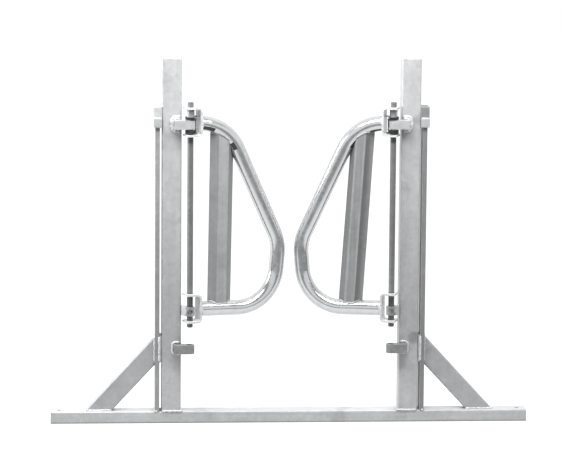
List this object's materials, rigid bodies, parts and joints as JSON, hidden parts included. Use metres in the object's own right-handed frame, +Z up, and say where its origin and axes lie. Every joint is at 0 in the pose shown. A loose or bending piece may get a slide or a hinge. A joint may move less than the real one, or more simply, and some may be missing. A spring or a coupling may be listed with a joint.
{
  "type": "anti-backing gate",
  "caption": "Cattle race gate with two posts on a base bar and a sprung D-shaped flap on a rod at each post, which lets an animal walk forward and stops it stepping back.",
  "frame": {"origin": "middle of the base bar's underside, on the ground", "axes": "+X across the race along the base bar, +Y the way the animals walk and the way the flaps open, +Z up"},
  "size_m": [1.6, 0.1534, 1.228],
  "materials": {
    "galvanised_tube": "hot-dip galvanised, dull grey with faint spangle",
    "galvanised_bar": "hot-dip galvanised bar and strap, darker and rougher",
    "flap_steel": "hot-dip galvanised round tube, bright where the light runs along it",
    "strut_sheet": "hot-dip galvanised folded sheet",
    "rod_steel": "galvanised round bar, dark and worn bright at the bearings",
    "spring_wire": "black spring wire"
  },
  "bodies": {
    "frame": {"base_bar": "galvanised_tube", "post_left": "galvanised_tube", "post_right": "galvanised_tube", "post_cap_left": "galvanised_tube", "post_cap_right": "galvanised_tube", "outer_flat_left": "galvanised_bar", "outer_flat_right": "galvanised_bar", "slot_block_left": "galvanised_bar", "slot_block_right": "galvanised_bar", "slot_packer_left": "galvanised_bar", "slot_packer_right": "galvanised_bar", "outer_lug_top_left": "galvanised_bar", "outer_lug_top_right": "galvanised_bar", "brace_left": "galvanised_tube", "brace_right": "galvanised_tube", "hinge_lug_top_left": "galvanised_bar", "hinge_lug_top_right": "galvanised_bar", "hinge_lug_bottom_left": "galvanised_bar", "hinge_lug_bottom_right": "galvanised_bar", "spare_lug_left": "galvanised_bar", "spare_lug_right": "galvanised_bar", "hinge_rod_left": "rod_steel", "hinge_rod_right": "rod_steel", "lock_pin_left": "rod_steel", "lock_pin_right": "rod_steel", "sleeve_left": "rod_steel", "sleeve_right": "rod_steel", "torsion_spring_left": "spring_wire", "torsion_spring_right": "spring_wire"},
    "flap_left": {"flap_tube_left": "flap_steel", "flap_strut_left": "strut_sheet", "top_bracket_left": "galvanised_bar", "bottom_bracket_left": "galvanised_bar"},
    "flap_right": {"flap_tube_right": "flap_steel", "flap_strut_right": "strut_sheet", "top_bracket_right": "galvanised_bar", "bottom_bracket_right": "galvanised_bar"}
  },
  "joints": [
    {"name": "left_flap_swing", "type": "hinge", "parent": "frame", "child": "flap_left", "pos_m": [-0.3365, -0.0485, 0.7], "axis": [0, 0, 1], "range_deg": [0, 70], "stiffness_Nm_per_rad": 3.5, "springref_deg": -17.19, "deforming": ["torsion_spring_left"]},
    {"name": "right_flap_swing", "type": "hinge", "parent": "frame", "child": "flap_right", "pos_m": [0.3365, -0.0485, 0.7], "axis": [0, 0, -1], "range_deg": [0, 70], "stiffness_Nm_per_rad": 3.5, "springref_deg": -17.19, "deforming": ["torsion_spring_right"]}
  ]
}
